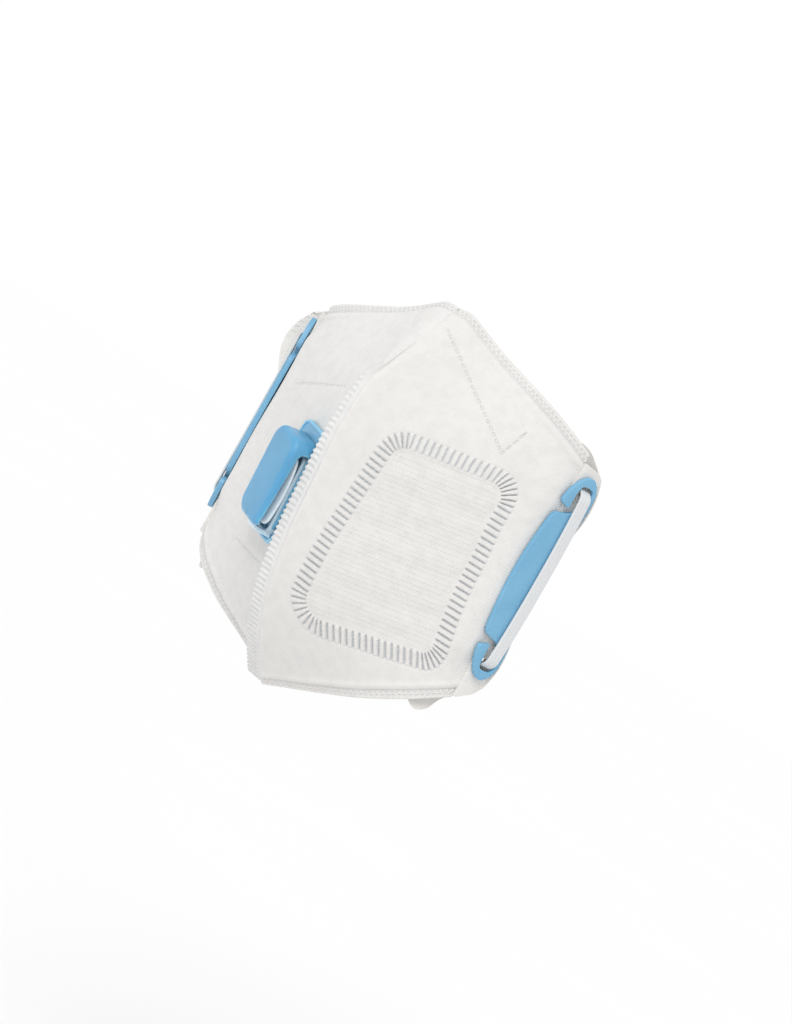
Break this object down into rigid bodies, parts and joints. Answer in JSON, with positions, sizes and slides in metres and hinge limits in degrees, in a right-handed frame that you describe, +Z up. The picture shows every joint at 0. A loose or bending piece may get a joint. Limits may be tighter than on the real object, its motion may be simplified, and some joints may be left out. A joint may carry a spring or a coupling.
{
  "type": "valved respirator mask",
  "caption": "Fold-flat respirator mask of white nonwoven with a front seam, a blue exhale valve, rolled cheek flaps, hooked strap clips and an elastic head strap.",
  "frame": {"origin": "middle of the face opening, half way between the two strap clips", "axes": "+Z up towards the nose, +Y out of the face opening towards the wearer, +X towards the wearer's left"},
  "size_m": [0.154, 0.1376, 0.1633],
  "materials": {
    "filter_cloth": "soft white laminated nonwoven",
    "welded_cloth": "nonwoven welded in fine ribs",
    "flap_cloth": "smooth creamy nonwoven",
    "clip_plastic": "satin light blue",
    "elastic": "flat woven elastic",
    "valve_plastic": "glossy blue",
    "silicone": "thin milky silicone"
  },
  "bodies": {
    "root": {"panel_left": "filter_cloth", "panel_right": "filter_cloth", "seam_strip": "welded_cloth", "cheek_flap_left": "flap_cloth", "cheek_flap_right": "flap_cloth", "strap_clip_left": "clip_plastic", "strap_clip_right": "clip_plastic", "head_strap": "elastic", "valve_base": "valve_plastic", "valve_diaphragm": "silicone", "valve_hood": "valve_plastic"}
  },
  "joints": []
}
